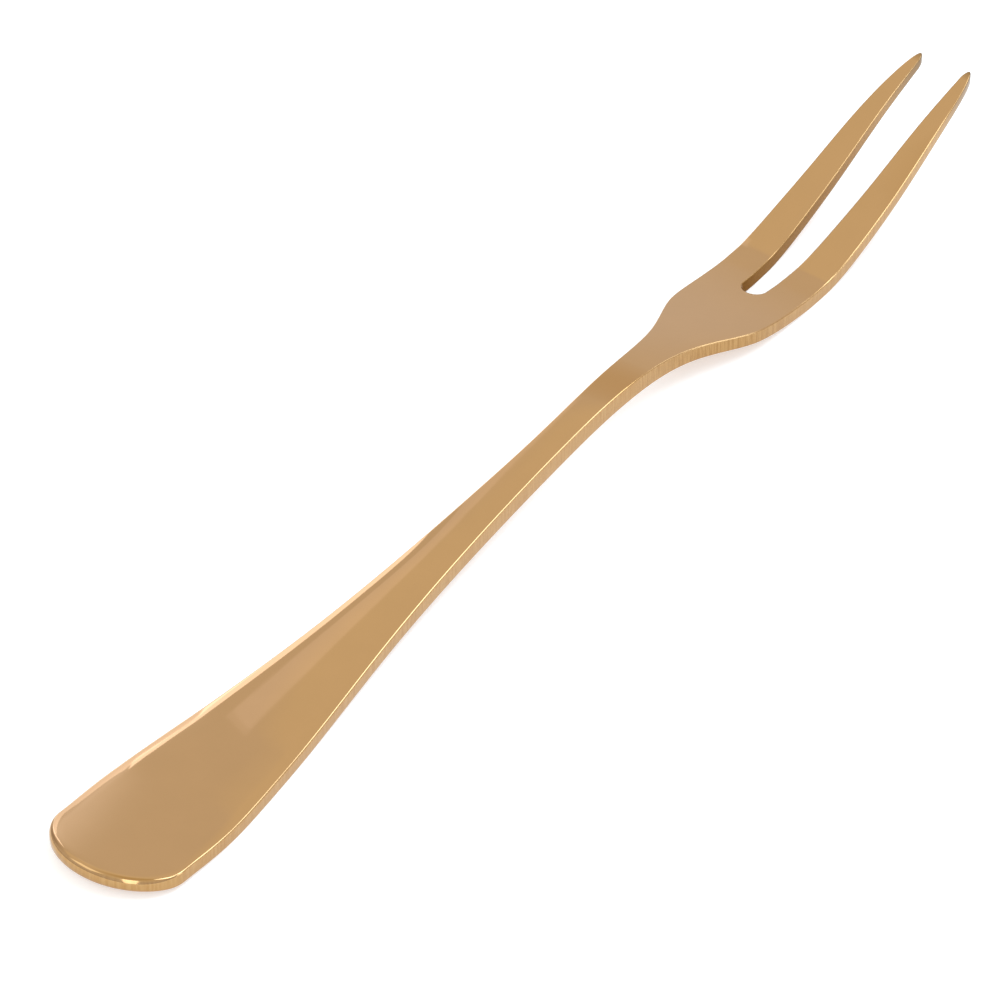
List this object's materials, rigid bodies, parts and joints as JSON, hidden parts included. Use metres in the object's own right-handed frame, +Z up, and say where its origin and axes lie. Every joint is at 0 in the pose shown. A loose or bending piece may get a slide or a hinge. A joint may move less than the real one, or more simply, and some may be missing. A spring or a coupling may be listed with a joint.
{
  "type": "fork",
  "caption": "Small table fork in polished gold-toned metal: a paddle handle narrows to an arched neck, then widens to a palm with slender upswept tines.",
  "frame": {"origin": "on the table under the middle of the fork's length and width", "axes": "+X from the handle's end towards the tips, +Z up from the table, +Y across the fork, which is the same on both sides"},
  "size_m": [0.1396, 0.014, 0.0089],
  "materials": {
    "gold_metal": "polished"
  },
  "bodies": {
    "root": {"fork": "gold_metal"}
  },
  "joints": []
}
